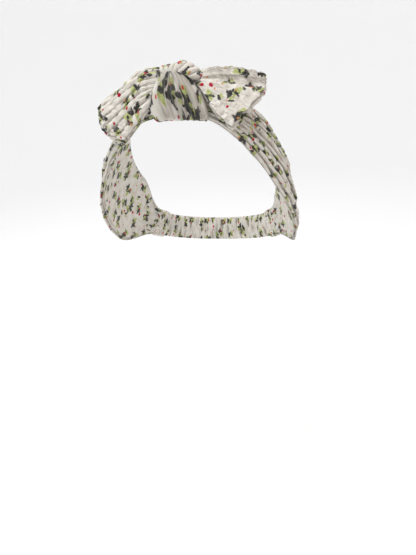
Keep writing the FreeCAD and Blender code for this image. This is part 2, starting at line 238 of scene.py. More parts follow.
def loop_middle(reach):
    """Middle line of the loop, a parabola in side view that lies on the head."""
    reach = np.asarray(reach, float)
    reach = (reach + 1) % 2 - 1
    knot = (-HEAD[1] * math.sin(KNOT_LEAN), HEAD[2] * math.cos(KNOT_LEAN))
    nape = (HEAD[1] * math.cos(NAPE_DROP), -HEAD[2] * math.sin(NAPE_DROP))
    t = (1 - np.cos(math.pi * np.abs(reach))) / 2
    y, z = [
        (1 - t) ** 2 * a + 2 * t * (1 - t) * (2 * b - (a + c) / 2) + t * t * c
        for a, b, c in zip(knot, EAR, nape)
    ]
    x = HEAD[0] * np.sqrt(np.maximum(0, 1 - (y / HEAD[1]) ** 2 - (z / HEAD[2]) ** 2))
    return np.stack([np.copysign(x, reach), y, z], axis=-1)


def on_head(points):
    stretch = np.sqrt(((points / HEAD) ** 2).sum(-1, keepdims=True))
    return points / stretch


def head_normal(points):
    return unit(points / HEAD ** 2)


def on_loop(reach, across, height):
    """Points at distances across the loop's middle line and heights above the head."""
    step = 0.002
    middle = loop_middle(reach)
    travel = unit(loop_middle(reach + step) - loop_middle(reach - step))
    sideways = unit(np.cross(head_normal(middle), travel))
    foot = on_head(middle + sideways * np.asarray(across)[..., None])
    return foot + head_normal(foot) * np.asarray(height)[..., None]


def loop_length(reach):
    """Distance along the middle line from the knot, for an increasing row of reaches."""
    middle = loop_middle(reach)
    steps = np.linalg.norm(np.diff(middle, axis=0), axis=1)
    total = np.concatenate([[0], np.cumsum(steps)])
    return total - np.interp(0, reach, total)


def band_width(reach):
    reach = np.abs(reach)
    knot, ear, cuff = 33.0, 63.0, 25.0
    opened = smooth(reach, 0.08, 0.34)
    gathered = smooth(reach, 0.52, CUFF_START)
    return knot + (ear - knot) * opened + (cuff - ear) * gathered


def band_lift(reach):
    """Height of the lining's inner face above the head."""
    return 0.4 + 2.3 * (1 - smooth(np.abs(reach), 0.07, 0.16))


# ---------------------------------------------------------------- materials

class Nodes:
    """Short calls for building one material's node tree."""

    def __init__(self, name):
        self.material = bpy.data.materials.new(name)
        self.material.use_nodes = True
        self.tree = self.material.node_tree
        self.shader = self.tree.nodes["Principled BSDF"]

    def add(self, kind, **settings):
        node = self.tree.nodes.new(kind)
        for key, value in settings.items():
            setattr(node, key, value)
        return node

    def put(self, socket, value):
        if isinstance(value, bpy.types.NodeSocket):
            self.tree.links.new(value, socket)
        else:
            socket.default_value = value

    def math(self, operation, a, b=0.0, c=0.0, clamp=False):
        node = self.add("ShaderNodeMath", operation=operation, use_clamp=clamp)
        for socket, value in zip(node.inputs, (a, b, c)):
            self.put(socket, value)
        return node.outputs[0]

    def vector(self, operation, a, b=(0, 0, 0), scale=1.0):
        node = self.add("ShaderNodeVectorMath", operation=operation)
        self.put(node.inputs[0], a)
        if operation == "SCALE":
            self.put(node.inputs["Scale"], scale)
        else:
            self.put(node.inputs[1], b)
        return node.outputs["Value"] if operation in ("LENGTH", "DOT_PRODUCT") else node.outputs[0]

    def step(self, value, start, end, low=0.0, high=1.0):
        """low before start, high after end, and smooth between."""
        node = self.add("ShaderNodeMapRange", interpolation_type="SMOOTHSTEP")
        for socket, item in zip(node.inputs, (value, start, end, low, high)):
            self.put(socket, item)
        return node.outputs[0]

    def mix(self, factor, a, b):
        node = self.add("ShaderNodeMix", data_type="RGBA")
        self.put(node.inputs[0], factor)
        self.put(node.inputs[6], a)
        self.put(node.inputs[7], b)
        return node.outputs[2]

    def noise(self, vector, scale, detail=2.0, roughness=0.5):
        node = self.add("ShaderNodeTexNoise")
        self.put(node.inputs["Vector"], vector)
        node.inputs["Scale"].default_value = scale
        node.inputs["Detail"].default_value = detail
        node.inputs["Roughness"].default_value = roughness
        return node.outputs["Fac"]

    def cells(self, vector, size, shift):
        """Scattered spots about size apart: distance from the nearest, its place, its number."""
        moved = self.vector("ADD", vector, (shift, shift * 1.7, 0))
        scaled = self.vector("SCALE", moved, scale=1 / size)
        node = self.add("ShaderNodeTexVoronoi", voronoi_dimensions="2D")
        self.put(node.inputs["Vector"], scaled)
        node.inputs["Scale"].default_value = 1.0
        node.inputs["Randomness"].default_value = 0.85
        offset = self.vector("SUBTRACT", scaled, node.outputs["Position"])
        local = self.vector("SCALE", offset, scale=size)
        split = self.add("ShaderNodeSeparateColor")
        self.put(split.inputs[0], node.outputs["Color"])
        return local, split.outputs


def turned(n, local, angle):
    node = n.add("ShaderNodeVectorRotate", rotation_type="Z_AXIS")
    n.put(node.inputs["Vector"], local)
    n.put(node.inputs["Angle"], angle)
    return node.outputs[0]


def leaf(n, local, middle, length, width, ragged, edge_noise):
    """A pointed leaf lying along X about a middle, 1 inside and 0 outside."""
    moved = n.vector("SUBTRACT", local, (middle[0], middle[1], 0))
    split = n.add("ShaderNodeSeparateXYZ")
    n.put(split.inputs[0], moved)
    share = n.math("DIVIDE", split.outputs[0], length / 2)
    taper = n.math("SUBTRACT", 1.0, n.math("MULTIPLY", share, share))
    half = n.math("MULTIPLY", taper, width / 2)
    torn = n.math("MULTIPLY_ADD", edge_noise, ragged, half)
    inside = n.math("SUBTRACT", torn, n.math("ABSOLUTE", split.outputs[1]))
    return n.step(inside, -0.3, 0.35)


def dot(n, local, radius):
    return n.step(n.math("SUBTRACT", radius, n.vector("LENGTH", local)), -0.2, 0.2)


def chosen(n, mask, number, share):
    """Keep a mask in only a share of the cells."""
    return n.math("MULTIPLY", mask, n.math("LESS_THAN", number, share))


CREAM = (0.74, 0.71, 0.65, 1)
CREAM_SHADE = (0.62, 0.58, 0.51, 1)
LIME = (0.53, 0.57, 0.25, 1)
LIME_SHADE = (0.36, 0.41, 0.14, 1)
CHARCOAL = (0.030, 0.029, 0.025, 1)
CHARCOAL_SHADE = (0.095, 0.092, 0.078, 1)
CRIMSON = (0.47, 0.008, 0.035, 1)
ORANGE = (0.58, 0.26, 0.09, 1)


def leaf_print(n, flat_place, scale, full, dark_share):
    """The cloth's print: lime and charcoal leaves, crimson and small orange dots on cream."""
    place = n.vector("SCALE", flat_place, scale=1 / scale)
    fibre = n.noise(place, 0.9, 3)
    patchy = n.noise(place, 0.16, 2)
    ragged = n.math("SUBTRACT", n.noise(place, 0.6, 4, 0.65), 0.5)
    cream = n.mix(n.step(patchy, 0.35, 0.7), CREAM, CREAM_SHADE)
    lime = n.mix(n.step(fibre, 0.35, 0.65), LIME, LIME_SHADE)
    charcoal = n.mix(n.step(fibre, 0.4, 0.75), CHARCOAL, CHARCOAL_SHADE)

    local, numbers = n.cells(place, 14.0, 0.0)
    spray = turned(n, local, n.math("MULTIPLY", numbers[0], 2 * math.pi))
    cross = turned(n, spray, 1.1)
    green = leaf(n, spray, (1.6, 1.5), 8.0 * full, 4.2 * full, 2.2, ragged)
    colour = n.mix(green, cream, lime)
    for local_place, middle, length, width in (
        (spray, (-1.4, -1.2), 7.6, 3.2),
        (cross, (1.0, -2.2), 6.4, 2.5),
        (cross, (-1.9, 1.5), 4.6, 1.9),
    ):
        dark = leaf(n, local_place, middle, length * full, width * full, 4.4, ragged)
        colour = n.mix(dark, colour, charcoal)

    local, numbers = n.cells(place, 9.5, 31.0)
    sprig = turned(n, local, n.math("MULTIPLY", numbers[0], 2 * math.pi))
    small = leaf(n, sprig, (0, 0), 5.0 * full, 2.1 * full, 3.2, ragged)
    small = chosen(n, small, numbers[1], dark_share)
    colour = n.mix(small, colour, charcoal)
    bud = chosen(n, leaf(n, sprig, (0.5, 1.9), 4.6, 2.3, 1.3, ragged), numbers[1], 0.3)
    colour = n.mix(bud, colour, lime)

    local, numbers = n.cells(place, 14.0, 57.0)
    radius = n.math("MULTIPLY_ADD", numbers[0], 0.6, 0.8)
    colour = n.mix(chosen(n, dot(n, local, radius), numbers[1], 0.8), colour, CRIMSON)
    local, numbers = n.cells(place, 12.0, 83.0)
    return n.mix(chosen(n, dot(n, local, 0.7), numbers[1], 0.6), colour, ORANGE)


def jersey_height(n, place):
    """Crinkled jersey: fine lengthwise ribs, finer knit wales and soft dimples."""
    lengthwise = n.vector("MULTIPLY", place, (1.0, 0.16, 1.0))
    crinkle = n.noise(lengthwise, 0.75, 3, 0.6)
    dimple = n.noise(place, 0.35, 2)
    wales = n.add("ShaderNodeTexWave", wave_type="BANDS", bands_direction="X")
    n.put(wales.inputs["Vector"], place)
    wales.inputs["Scale"].default_value = 0.32
    wales.inputs["Distortion"].default_value = 0.8
    wales.inputs["Detail Scale"].default_value = 2.0
    ribs = n.math("MULTIPLY", wales.outputs["Fac"], 0.22)
    return n.math("ADD", n.math("MULTIPLY_ADD", dimple, 0.5, crinkle), ribs)


def print_jersey(name, scale, full, dark_share):
    """The printed cloth, placed by the flat cloth's own coordinates, with shade painted into the
    valleys of its folds.
    """
    n = Nodes(name)
    place = n.add("ShaderNodeUVMap", uv_map="cloth").outputs[0]
    fold = n.add("ShaderNodeSeparateXYZ")
    n.put(fold.inputs[0], n.add("ShaderNodeUVMap", uv_map="fold").outputs[0])
    # Painted shade: where the fold layer is low, in the valleys, the print is multiplied towards a
    # warm grey.
    deep = n.step(fold.outputs[0], 0.0, 0.55, 0.72, 0.0)
    printed = leaf_print(n, place, scale, full, dark_share)
    shaded = n.add("ShaderNodeMix", data_type="RGBA", blend_type="MULTIPLY")
    n.put(shaded.inputs[0], deep)
    n.put(shaded.inputs[6], printed)
    n.put(shaded.inputs[7], (0.36, 0.33, 0.30, 1))
    n.put(n.shader.inputs["Base Color"], shaded.outputs[2])
    bump = n.add("ShaderNodeBump")
    bump.inputs["Strength"].default_value = 1.0
    bump.inputs["Distance"].default_value = 0.0012
    n.put(bump.inputs["Height"], jersey_height(n, place))
    n.put(n.shader.inputs["Normal"], bump.outputs[0])
    n.shader.inputs["Roughness"].default_value = 0.86
    n.shader.inputs["Specular IOR Level"].default_value = 0.25
    n.shader.inputs["Sheen Weight"].default_value = 0.18
    n.shader.inputs["Sheen Roughness"].default_value = 0.45
    return n.material


def thread_material():
    """Spun sewing thread with its twist."""
    n = Nodes("sewing_thread")
    coordinates = n.add("ShaderNodeTexCoord")
    twist = n.noise(coordinates.outputs["Object"], 2600.0, 2)
    colour = n.mix(twist, (0.74, 0.70, 0.62, 1), (0.52, 0.48, 0.41, 1))
    n.put(n.shader.inputs["Base Color"], colour)
    bump = n.add("ShaderNodeBump")
    bump.inputs["Strength"].default_value = 0.5
    bump.inputs["Distance"].default_value = 0.0002
    n.put(bump.inputs["Height"], twist)
    n.put(n.shader.inputs["Normal"], bump.outputs[0])
    n.shader.inputs["Roughness"].default_value = 0.7
    return n.material


def elastic_material():
    """Woven flat elastic: crosswise ribs over lengthwise cords."""
    n = Nodes("woven_elastic")
    uv = n.add("ShaderNodeUVMap", uv_map="cloth")
    ribs = n.add("ShaderNodeTexWave", wave_type="BANDS", bands_direction="Y")
    n.put(ribs.inputs["Vector"], uv.outputs[0])
    ribs.inputs["Scale"].default_value = 0.35
    # Painted shade: the grooves between the ribs, low in the bump, are coloured darker than the
    # raised ribs.
    ribs_painted_shade = n.mix(ribs.outputs["Fac"], (0.70, 0.69, 0.66, 1), (0.86, 0.85, 0.82, 1))
    n.put(n.shader.inputs["Base Color"], ribs_painted_shade)
    bump = n.add("ShaderNodeBump")
    bump.inputs["Strength"].default_value = 0.6
    bump.inputs["Distance"].default_value = 0.0003
    n.put(bump.inputs["Height"], ribs.outputs["Fac"])
    n.put(n.shader.inputs["Normal"], bump.outputs[0])
    n.shader.inputs["Roughness"].default_value = 0.75
    return n.material


CLOTH = print_jersey("printed_jersey", 1.0, 1.05, 0.28)
DARK_CLOTH = print_jersey("printed_jersey_knot", 1.0, 1.5, 0.7)
THREAD = thread_material()
ELASTIC = elastic_material()


# Sizes of the flat cloth before it was gathered, sewn and tied, in metres.
WRAP_FLAT = (0.060, 0.036)
LOBE_FLAT = (0.052, 0.038)
UNDER_FLAT = (0.028, 0.040)
LEFT_FLAT = (0.052, 0.048)
RIGHT_FLAT = (0.052, 0.044)


# ---------------------------------------------------------------- the band

# Where the band's folds meet, as shares of its width from the front edge to the rear one.
FOLD_EDGES = np.array([0.0, 0.07, 0.15, 0.25, 0.34, 0.42, 0.51, 0.59, 0.68, 0.76, 0.84, 0.92, 1.0])
BAND_FOLDS = len(FOLD_EDGES) - 1


def fold_height(reach):
    """How deep the band's folds are: squeezed at the knot, fullest beside it."""
    reach = np.abs(reach)
    fuller = smooth(reach, 0.07, 0.18)
    flatter = smooth(reach, 0.38, 0.55)
    bunched = smooth(reach, 0.58, CUFF_START)
    return 3.2 + 1.6 * fuller - 2.0 * flatter + 0.5 * bunched


def make_band():
    """The outer ply: folds that lean forward over each other, rolled under at both edges."""
    rows, columns = 560, 201
    reach = np.linspace(-CUFF_START, CUFF_START, rows)[:, None]
    share = np.linspace(0, 1, columns)[None, :]
    length = loop_length(reach[:, 0])[:, None]
    width = band_width(reach)
    drift = 0.026 * ripples(share * 100, length, 50, 75, 3) * np.sin(math.pi * share)
    place = np.clip(share + drift, 0, 1)
    fold = np.interp(place, FOLD_EDGES, np.arange(BAND_FOLDS + 1))
    fold = np.clip(fold, 0, BAND_FOLDS - 1e-6)
    along = (reach + CUFF_START) / (2 * CUFF_START)
    full = per_fold(fold, along, 9, 0.3, 1.0, 11)
    lean = per_fold(fold, along, 5, 0.2, 0.8, 12)
    full = np.where(fold < 1, 0.35, full)
    arch = arches(fold, 3.4)
    depth = fold_height(reach)
    across = width * (place - 0.5) - lean * width / BAND_FOLDS * arch
    crinkle = (0.16 * ripples(share * 110, length, 3.2, 12, 5)
               + 0.10 * ripples(share * 110, length, 6, 4, 6))
    swell = 0.4 * ripples(share * 60, length, 30, 26, 8)
    base = band_lift(reach) + LINING_TOP + 0.5
    height = base + depth * (0.15 + 0.85 * full * arch) + crinkle + swell
    # crest sets the painted shade: the cloth material darkens the valleys between the folds.
    crest = arch * (0.3 + 0.7 * full)
    across, height, crest = rolled_edges(across, height, crest, width, band_lift(reach))
    points = on_loop(np.broadcast_to(reach, across.shape), across, height)
    cloth = measured_places(points, 0.45, (300, 0), (1.12, 1.0))
    piece = cloth_piece("band_outer_folds", points, cloth, CLOTH, 0.5, crest)
    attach(piece, "band")
    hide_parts("band_outer")


def rolled_edges(across, height, crest, width, lift):
    """Add the hems that curl from the outer ply to under it, along both edges, with shade painted
    on them.
    """
    inset = np.array([6.5, 3.4, 1.0, -0.3])
    rise = np.array([0.45, 0.5, 0.75, 1.5])
    # Painted shade: low crest values darken the hems, most where they tuck furthest under the
    # band.
    dark = np.array([0.1, 0.2, 0.3, 0.6]) * np.ones_like(width)
    front = -width / 2 + inset
    rear = width / 2 - inset[::-1]
    heights = lift + LINING_TOP * 0.4 + rise
    return (np.concatenate([front, across, rear], 1),
            np.concatenate([heights, height, heights[:, ::-1]], 1),
            np.concatenate([dark, crest, dark[:, ::-1]], 1))


def make_lining():
    """The inner ply, nearly smooth against the head."""
    rows, columns = 300, 40
    reach = np.linspace(-CUFF_START, CUFF_START, rows)[:, None]
    share = np.linspace(-0.5, 0.5, columns)[None, :]
    length = loop_length(reach[:, 0])[:, None]
    across = (band_width(reach) - 3.0) * share
    pucker = 0.24 * ripples(across, length, 6, 30, 21) + 0.12 * ripples(across, length, 3, 12, 22)
    bunched = 1 + 1.2 * smooth(np.abs(reach), 0.5, CUFF_START)
    height = band_lift(reach) + 0.45 + pucker * bunched * smooth(np.abs(reach), 0.1, 0.2)
    points = on_loop(np.broadcast_to(reach, across.shape), across, height)
    cloth = measured_places(points, 0.6, (600, 0))
    piece = cloth_piece("band_lining_cloth", points, cloth, CLOTH, 0.5)
    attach(piece, "band")
    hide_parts("band_lining")
    sew_band_seam(points)


# ---------------------------------------------------------------- the knot

def from_knot(points):
    """Turn places on the knot (across, rearward, outward) into points of the frame."""
    origin = loop_middle(0.0)
    outward = head_normal(origin)
    across = np.array([1.0, 0.0, 0.0])
    rearward = np.cross(outward, across)
    points = np.asarray(points, float)
    return origin + points @ np.array([across, rearward, outward])


def folded_patch(control, rows, columns, folds, depth, seed, wander=0.3, full=(0.45, 1.0)):
    """A patch of cloth with folds that run along its rows, depth(along, across) deep."""
    points = patch(control, rows, columns)
    share = np.linspace(0, 1, columns)[None, :]
    along = np.linspace(0, 1, rows)[:, None]
    drift = wander * ripples(share * 3, along * 2, 2.2, 2.5, seed) * np.sin(math.pi * share)
    fold = np.clip(share * folds + drift, 0, folds - 1e-6)
    fold = np.broadcast_to(fold, (rows, columns))
    fullness = per_fold(fold, np.broadcast_to(along, fold.shape), 4, *full, seed + 1)
    arch = arches(fold, 2.2)
    lift = depth(along, share) * (fullness * arch - 0.5)
    # crest lets the cloth material paint shade into the valleys, more where the folds are deeper.
    deep = np.minimum(depth(along, share) / 2, 1)
    crest = 1 - deep * (1 - arch * fullness) * np.ones_like(lift)
    return points + normals(points) * blurred(lift, 1)[..., None], blurred(crest, 1)


FRONT_WRAP = [
    [(-4, 3.4, 15), (-3.2, 3.4, 16), (-2.4, 3.4, 16.4), (-1.6, 3.4, 16), (-0.8, 3.4, 15)],
    [(-7.8, 0, 17.2), (-4.8, -0.2, 19.6), (-1.8, 0, 20.5), (1, 0.3, 20.1), (4, 0.8, 18.8)],
    [(-12, -4.6, 13), (-7.6, -6.4, 18), (-0.8, -7.2, 19.5), (6, -6.6, 18.5), (12.4, -3.4, 15.2)],
    [(-13.5, -11, 8.5), (-9.5, -14, 14), (0, -15.2, 15.8), (9, -14.2, 14.4), (17.5, -9.5, 10.2)],
    [(-13, -17, 4.5), (-8, -19.6, 8), (2, -20.4, 9.2), (12, -19.6, 8), (21, -16.8, 5)],
    [(-11, -19, 1), (-7, -20.8, 3), (3, -21.4, 3.8), (13, -20.8, 2.8), (22, -18.8, 0.5)],
    [(-9.5, -17, -1.4), (-6, -18, -0.2), (3, -18.4, 0.2), (12, -18, -0.6), (20, -16.6, -2.6)],
]

TOP_LOBE = [
    [(-5, -0.6, 13.4), (-3.6, -1, 14.6), (-2.2, -1.2, 15.2), (0, -1.2, 15.2), (3.6, -1.4, 13.6)],
    [(-8.6, 2.4, 16.2), (-4.4, 2.8, 19), (0.8, 2.4, 20.2), (7, 0.8, 19.2), (12.6, -1.4, 15.6)],
    [(-12, 6, 16.5), (-6, 6.5, 20), (2, 6, 21.3), (10, 4, 20.3), (16.5, 1, 15)],
    [(-12, 13, 13.5), (-6, 13, 17.3), (3, 13, 18.8), (12, 11.5, 17.3), (18, 8, 12.5)],
    [(-11, 19, 8), (-5, 19.5, 11), (3, 20, 12), (11, 19, 10.5), (16.5, 16, 7)],
    [(-11, 21.5, 1.5), (-5, 22, 2.8), (3, 22.5, 3.2), (11, 22, 2), (15.5, 20, -0.5)],
    [(-11, 18, -3.6), (-5, 18, -2.4), (3, 18, -2.2), (11, 18, -3), (15, 17, -4.4)],
]


def make_knot():
    rows, columns = 130, 150
    front, crest = folded_patch(
        FRONT_WRAP, rows, columns, 9,
        lambda v, u: (0.6 + (0.7 + 2.0 * smooth(u, 0.2, 0.5)) * smooth(v, 0.05, 0.35))
        * (1 - 0.85 * smooth(v, 0.66, 0.96)), 31)
    places = measured_places(front, 0.8, (20, 400), (1.5, 0.62))
    piece = cloth_piece("knot_front_wrap_folds", from_knot(front), places, DARK_CLOTH, 0.9, crest)
    finish_knot_piece(piece, WRAP_FLAT, "knot_front_wrap")

    top, crest = folded_patch(TOP_LOBE, rows, columns, 8,
                              lambda v, u: (0.6 + 2.1 * smooth(v, 0.05, 0.35))
                              * (1 - 0.85 * smooth(v, 0.7, 0.96)), 47)
    places = measured_places(top, 0.8, (130, 430), (1.4, 0.7))
    piece = cloth_piece("knot_top_lobe", from_knot(top), places, CLOTH, 0.9, crest)
    finish_knot_piece(piece, LOBE_FLAT, "knot_crossing", "knot_rear_wrap")
    make_under_pass()


def finish_knot_piece(piece, flat, *nodes):
    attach(piece, "band")
    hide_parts(*nodes)


def make_under_pass():
    """The tie between the lining and the head, pressed flat, with its ends up in the wraps."""
    rows, columns = 60, 60
    rearward = np.linspace(18, -16.8, rows)[:, None]
    forward = np.linspace(0, 1, rows)[:, None]
    middle = 2 + 3 * forward
    across = middle + np.linspace(-12.5, 12.5, columns)[None, :]
    foot = np.stack(np.broadcast_arrays(across, rearward, 0.0), axis=-1)
    foot = on_head(from_knot(foot))
    toward_end = smooth(np.abs(2 * forward - 1), 0.75, 1)
    fold = 0.35 * (arches((across - middle) / 3.6 + 20) - 0.5)
    height = 1.1 + fold * (1 - toward_end) + 1.5 * toward_end
    points = foot + head_normal(foot) * np.broadcast_to(height, (rows, columns))[..., None]
    places = measured_places(points, 0.0, (60, 520))
    piece = cloth_piece("knot_under_pass_cloth", points, places, CLOTH, 0.8)
    finish_knot_piece(piece, UNDER_FLAT, "knot_under_pass")


# ---------------------------------------------------------------- the tails

LEFT_TAIL = [
    [(-9, -9, 7), (-8, -4, 10), (-6, 0, 13), (-5, 4, 15), (-4, 8, 15)],
    [(-14.5, -14, 8), (-14.5, -7, 11.5), (-14, 0, 14.5), (-12, 7, 17), (-9.5, 12, 17)],
    [(-20, -20, 4.5), (-23, -12, 9.5), (-24.5, -3, 13.5), (-24.5, 5, 16), (-23, 11, 16)],
    [(-28, -27, -2), (-34, -19.5, 3), (-37.5, -8, 7.2), (-38.5, 0, 9), (-36.5, 7, 10)],
    [(-33.5, -29.5, -5), (-43.5, -24, -2.4), (-50.5, -15, 0.4), (-53.5, -5, 1.6), (-52, 4.5, 1.4)],
]

RIGHT_TAIL = [
    [(8, -2, 10), (9, -1, 11), (10, 0, 12), (11, 2, 13), (12, 4, 14), (12, 7, 14), (11, 10, 12)],
    [(15, -2, 12), (17, -1, 13), (18.5, 1, 14), (19.5, 3, 13), (20, 6, 16), (19.5, 10, 15),
     (18, 13, 11.5)],
    [(24, -15.5, 8), (28, -9, 11), (30, -2, 13), (31, 4, 10.8), (32, 7.5, 14.4), (32, 13, 13),
     (31, 17, 8.5)],
    [(30.5, -22, 3.5), (37, -12.3, 7.5), (42.5, -3.5, 9.5), (44, 3.5, 7.6), (45, 7.5, 11.2),
     (45, 14, 9.8), (44, 19, 4.5)],
    [(36.8, -26, -0.6), (46, -15.5, 3.2), (53.5, -5, 5), (56, 3.5, 4.2), (56.5, 8, 7),
     (56, 14.5, 6), (54.5, 20, 1)],
]


class TailShape:
    """What differs between the two tails."""

    def __init__(self, name, control, folds, depth, seed, flat, start):
        self.name = name
        self.control = np.array(control, float)
        self.folds = folds
        self.depth = depth
        self.seed = seed
        self.flat = flat
        self.start = start
        self.side = -1 if name == "left" else 1

    def ply(self, lower, longer):
        """One ply's points, its crests and its places, lower and longer than the front one."""
        rows, columns = 120, 140
        control = self.control + np.array([0, 0, -lower])
        control[-1] += (control[-1] - control[-2]) * longer[:, None]
        points, crest = folded_patch(control, rows, columns, self.folds, self.depth, self.seed,
                                     0.35)
        places = measured_places(points, 0.3, self.start, (1.1, 1.0))
        along = np.linspace(0, 1, rows)[:, None]
        pucker = ripples(places[..., 0], places[..., 1], 6.5, 7.5, self.seed + 5)
        fine = ripples(places[..., 0], places[..., 1], 3.0, 4.0, self.seed + 6)
        grown = smooth(along, 0.15, 0.5)
        points = points + normals(points) * ((0.42 * pucker + 0.20 * fine) * grown)[..., None]
        toothed = 0.5 * ripples(places[..., 0], 0 * places[..., 0], 5, 9, self.seed + 7)
        points[..., 0] += self.side * toothed * smooth(along, 0.8, 1)
        return points, crest, places

    def build(self):
        none = np.zeros(self.control.shape[1])
        under = np.linspace(0.12, 0.0, self.control.shape[1])
        for layer, lower, longer in (("front", 0.0, none), ("back", 2.2, under)):
            points, crest, places = self.ply(lower, longer)
            if layer == "back":
                places = places + np.array([7.0, 90.0])
            piece = cloth_piece(f"tail_{self.name}_{layer}_cloth", from_knot(points), places,
                                CLOTH, 0.7, crest)
            self.move(piece)
            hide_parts(f"tail_{self.name}_{layer}_ply")
            if layer == "front":
                hem = int(0.945 * len(points))
                sew(f"tail_{self.name}_hem_thread", from_knot(points), [(hem, None)], 0.35,
                    self.move, f"tail_{self.name}_hem_stitches")

    def move(self, piece):
        """Bake the piece's transform into its points."""
        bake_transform(piece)


def make_tails():
    TailShape("left", LEFT_TAIL, 8, lambda v, u: 0.6 + 1.5 * smooth(v, 0.1, 0.4) + 0 * u,
              61, LEFT_FLAT, (10, 480)).build()
    TailShape("right", RIGHT_TAIL, 7,
              lambda v, u: (0.5 + 1.8 * smooth(v, 0.1, 0.4)) * (0.2 + 0.8 * smooth(u, 0.45, 0.7)),
              73, RIGHT_FLAT, (120, 560)).build()


# ---------------------------------------------------------------- thread

def thread_arcs(ends, outward, radius=0.26, rise=0.2):
    """Short stitches, each from one end to the other, that dip into the cloth at both ends."""
    rings, sides = 7, 6
    t = np.linspace(0, 1, rings)
    height = rise * np.sin(math.pi * t) * 2 - rise
    turn = np.arange(sides) * 2 * math.pi / sides
    all_points, all_faces = [], []
    for (a, b), up in zip(ends, outward):
        line = a + (b - a) * t[:, None] + up * height[:, None]
        along = unit(b - a)
        sideways = np.cross(along, up)
        ring = np.cos(turn)[:, None] * sideways + np.sin(turn)[:, None] * up
        taper = np.where((t == 0) | (t == 1), 0.45, 1.0) * radius
        points = line[:, None, :] + ring[None] * taper[:, None, None]
        faces = grid_faces(rings, sides, True)
        base = len(all_points) * rings * sides
        all_points.append(points.reshape(-1, 3))
        caps = base + np.array([[0, 5, 4, 3], [0, 3, 2, 1]])
        last = caps[:, ::-1] + (rings - 1) * sides
        all_faces += [faces + base, caps, last]
    return np.concatenate(all_points), np.concatenate(all_faces)


def sew(name, points, rows, lift, move, node, pitch=3.6, long=2.2):
    """A row of stitches along chosen rows or columns of a cloth's grid of points."""
    outward = normals(points)
    ends, ups = [], []
    for row, column in rows:
        line = points[row] if column is None else points[:, column]
        up = outward[row] if column is None else outward[:, column]
        line = line + up * lift
        distance = np.concatenate([[0], np.cumsum(np.linalg.norm(np.diff(line, axis=0), axis=1))])
        for start in np.arange(1.2, distance[-1] - long - 1, pitch):
            pick = [np.interp(start + d, distance, np.arange(len(line))) for d in (0, long)]
            a, b = [line[int(i)] * (1 - i % 1) + line[min(int(i) + 1, len(line) - 1)] * (i % 1)
                    for i in pick]
            ends.append((a, b))
            ups.append(up[int(sum(pick) / 2)])
    thread, faces = thread_arcs(ends, ups)
    piece = make_mesh(name, thread, faces, thread[:, :2], THREAD)
    move(piece)
    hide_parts(node)


def sew_band_seam(lining):
    """The seam that closes the cloth tube, inside and near the rear edge."""
    points = lining[:, ::-1]
    column = int(0.19 * points.shape[1])
    sew("band_seam_thread", points, [(None, column)], 0.25, lambda piece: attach(piece, "band"),
        "band_seam_stitches")


# ---------------------------------------------------------------- the nape

def strap_loop(around, width, thickness, squareness=0.75):
    """A flattened tube about the loop's middle line at the nape."""
    c, s = np.cos(around), np.sin(around)
    across = width / 2 * np.sign(c) * np.abs(c) ** squareness
    height = STRAP_MIDDLE + thickness / 2 * np.sign(s) * np.abs(s) ** squareness
    return across, height


def even_turns(columns, width, thickness):
    """Angles that space a strap's columns evenly round its section, and the distances there."""
    turn = np.linspace(0, -2 * math.pi, 721)
    across, height = strap_loop(turn, width, thickness)
    distance = np.concatenate([[0], np.cumsum(np.hypot(np.diff(across), np.diff(height)))])
    even = np.linspace(0, distance[-1], columns, endpoint=False)
    return np.interp(even, distance, turn)[None, :], even[None, :]


def make_tube(name, reach, columns, width, thickness, ruffle, start, tuck=0.0):
    """A flattened cloth tube along the loop, with the gathers that ruffle gives.

    tuck is the share by which its ends roll in.
    """
    around, distance = even_turns(columns, width, thickness)
    length = loop_length(reach)[:, None]
    toward_end = np.linspace(-1, 1, len(reach))[:, None]
    size = 1 - tuck * (1 - np.sqrt(1 - toward_end ** 6))
    across, height = strap_loop(around, width * size, thickness * size)
    # ruffle gives the gathers and the crest values by which shade is painted into their valleys.
    gather, crest = ruffle(length, across, np.sin(around))
    height = height + gather
    full_reach = np.broadcast_to(reach[:, None], height.shape)
    points = on_loop(full_reach, np.broadcast_to(across, height.shape), height)
    places = np.stack([np.broadcast_to(distance + start, height.shape),
                       np.broadcast_to(length * 1.6 + start, height.shape)], axis=-1)
    cap = ring_cap(columns)
    last = cap + (len(reach) - 1) * columns
    faces = np.concatenate([grid_faces(len(reach), columns, True), cap[:, ::-1], last])
    return make_mesh(name, points.reshape(-1, 3), faces, places.reshape(-1, 2), CLOTH,
                     np.broadcast_to(crest, height.shape).ravel())


def bend_with_nape(piece):
    """Bake the piece's transform into its points."""
    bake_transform(piece)


def casing_gathers(length, across, top):
    """Crosswise gathers, held flat along the two rows of stitches."""
    row = CASING_ROW
    held = 1 - 0.75 * np.exp(-((np.abs(across) - row) / 1.1) ** 2)
    wave = ripples(length, across, 5.0, 26, 91) + 0.5 * ripples(length, across, 2.6, 12, 92)
    face = np.sign(top) * np.abs(top) ** 0.5
    # The second value is the crest, by which the material paints shade into the gather valleys.
    return 0.95 * wave * held * face, 0.62 + 0.4 * wave


def cuff_pleats(length, across, top):
    """Lengthwise pleats of the band's end, folded into the cuff."""
    arch = arches(across / 3.6 + 20) + 0 * length
    wave = 0.3 * ripples(length, across, 6, 9, 95)
    # The second value is the crest, by which the material paints shade into the pleat valleys.
    return (0.9 * (arch - 0.5) + wave) * np.sign(top), 0.25 + 0.75 * arch


CASING_ROW = 8.7


